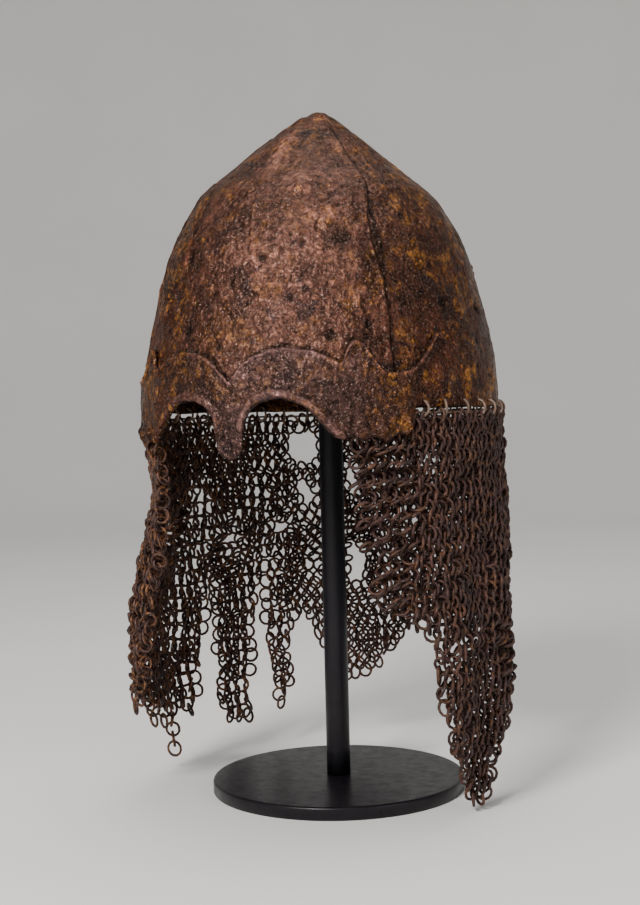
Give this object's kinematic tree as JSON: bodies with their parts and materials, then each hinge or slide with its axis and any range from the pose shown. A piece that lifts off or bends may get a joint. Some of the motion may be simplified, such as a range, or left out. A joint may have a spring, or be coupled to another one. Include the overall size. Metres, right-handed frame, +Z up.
{
  "type": "iron helmet with mail curtain on a display stand",
  "caption": "Pointed iron helmet of overlapping plates with a scalloped brow mask, nose guard and torn curtain of iron rings, on a plain black post stand.",
  "frame": {"origin": "middle of the underside of the stand's foot, on the post's axis, where the object stands", "axes": "+Z up through the post to the helmet's point; the face looks along -Y; the wearer's left is +X"},
  "size_m": [0.2393, 0.2495, 0.4274],
  "materials": {
    "skull_iron": "satin, rust browned and pitted",
    "brow_iron": "satin, rust browned and pitted",
    "loop_iron": "dull, rusted wire",
    "mail_iron": "dull, deeply rusted rings",
    "stand_black": "satin black paint"
  },
  "bodies": {
    "root": {"skull_front_plate": "skull_iron", "skull_rear_plate": "skull_iron", "skull_left_plate": "skull_iron", "skull_right_plate": "skull_iron", "apex_cap": "skull_iron", "brow_plate": "brow_iron", "hanging_wire": "loop_iron", "mail_left": "mail_iron", "mail_right": "mail_iron", "stand_pad": "stand_black", "stand_post": "stand_black", "stand_base": "stand_black", "hanger_loop_01": "loop_iron", "hanger_loop_02": "loop_iron", "hanger_loop_03": "loop_iron", "hanger_loop_04": "loop_iron", "hanger_loop_05": "loop_iron", "hanger_loop_06": "loop_iron", "hanger_loop_07": "loop_iron", "hanger_loop_08": "loop_iron", "hanger_loop_09": "loop_iron", "hanger_loop_10": "loop_iron", "hanger_loop_11": "loop_iron", "hanger_loop_12": "loop_iron", "hanger_loop_13": "loop_iron", "hanger_loop_14": "loop_iron", "hanger_loop_15": "loop_iron", "hanger_loop_16": "loop_iron", "hanger_loop_17": "loop_iron", "hanger_loop_18": "loop_iron", "hanger_loop_19": "loop_iron", "hanger_loop_20": "loop_iron", "hanger_loop_21": "loop_iron", "hanger_loop_22": "loop_iron", "hanger_loop_23": "loop_iron", "hanger_loop_24": "loop_iron", "hanger_loop_25": "loop_iron", "hanger_loop_26": "loop_iron", "hanger_loop_27": "loop_iron", "hanger_loop_28": "loop_iron", "hanger_loop_29": "loop_iron"}
  },
  "joints": []
}
